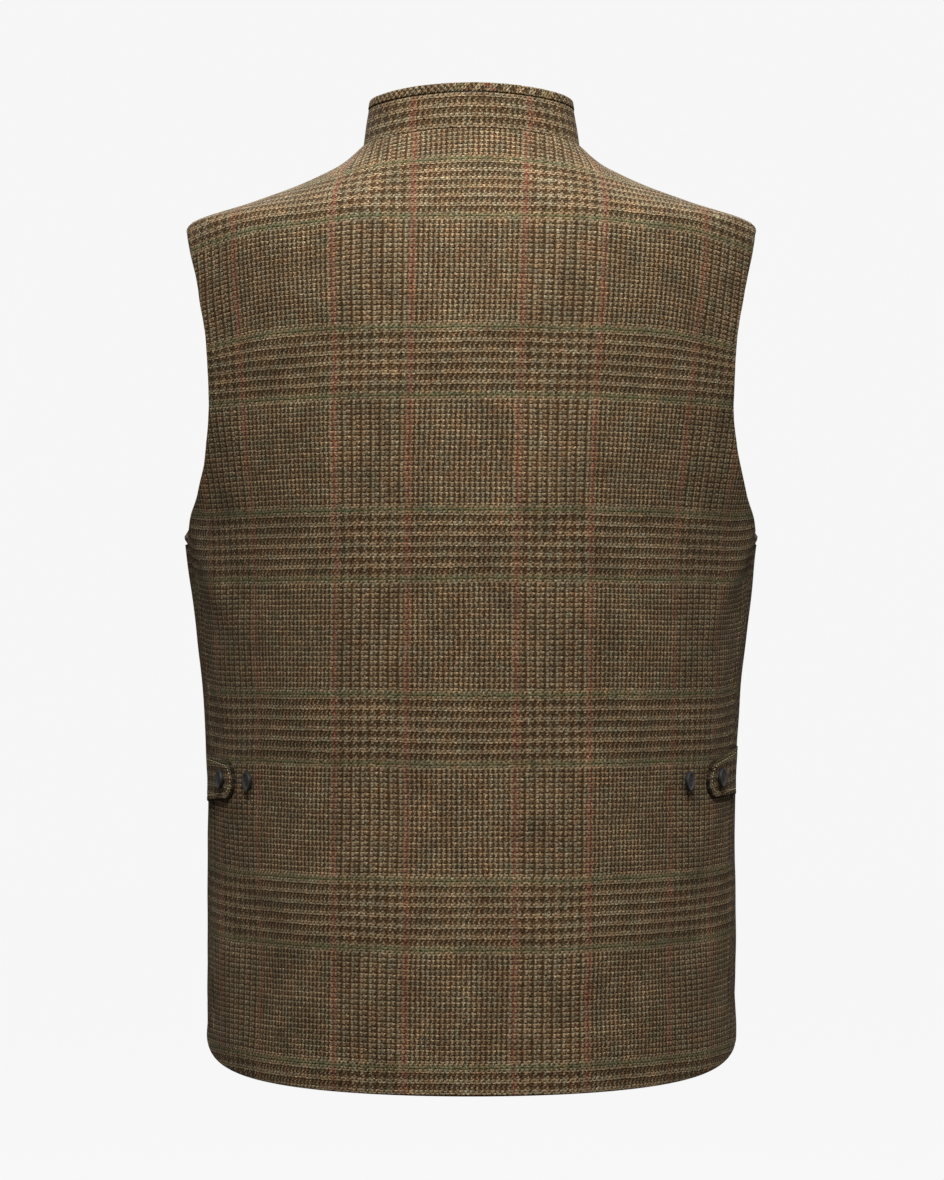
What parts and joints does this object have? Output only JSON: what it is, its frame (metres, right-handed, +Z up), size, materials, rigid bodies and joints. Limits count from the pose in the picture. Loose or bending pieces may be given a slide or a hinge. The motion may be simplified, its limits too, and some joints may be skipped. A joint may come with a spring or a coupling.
{
  "type": "stand-collar tweed waistcoat",
  "caption": "Sleeveless tweed waistcoat with a bound stand collar, waist tabs and a buttoned front, filled out as worn and held up by its wearer's shoulders.",
  "frame": {"origin": "middle of the neckline, level with the collar seam at centre back, where the wearer's neck passes and the shoulders hold the garment", "axes": "+Z up, +Y towards the wearer's front, +X towards the wearer's right; the back faces -Y"},
  "size_m": [0.4483, 0.2839, 0.7553],
  "materials": {
    "tweed": "woollen tweed, twill woven, checked in brown, olive, green and rust",
    "tweed_bias": "the same tweed cut on the bias",
    "horn": "polished dark horn"
  },
  "bodies": {
    "root": {"back": "tweed", "front_left": "tweed", "front_right": "tweed", "collar": "tweed", "collar_binding": "tweed_bias", "tab_left": "tweed", "tab_right": "tweed", "tab_button_left": "horn", "tab_button_right": "horn", "waist_button_left": "horn", "waist_button_right": "horn", "front_button_1": "horn", "front_button_2": "horn", "front_button_3": "horn", "front_button_4": "horn", "front_button_5": "horn", "front_button_6": "horn"}
  },
  "joints": []
}
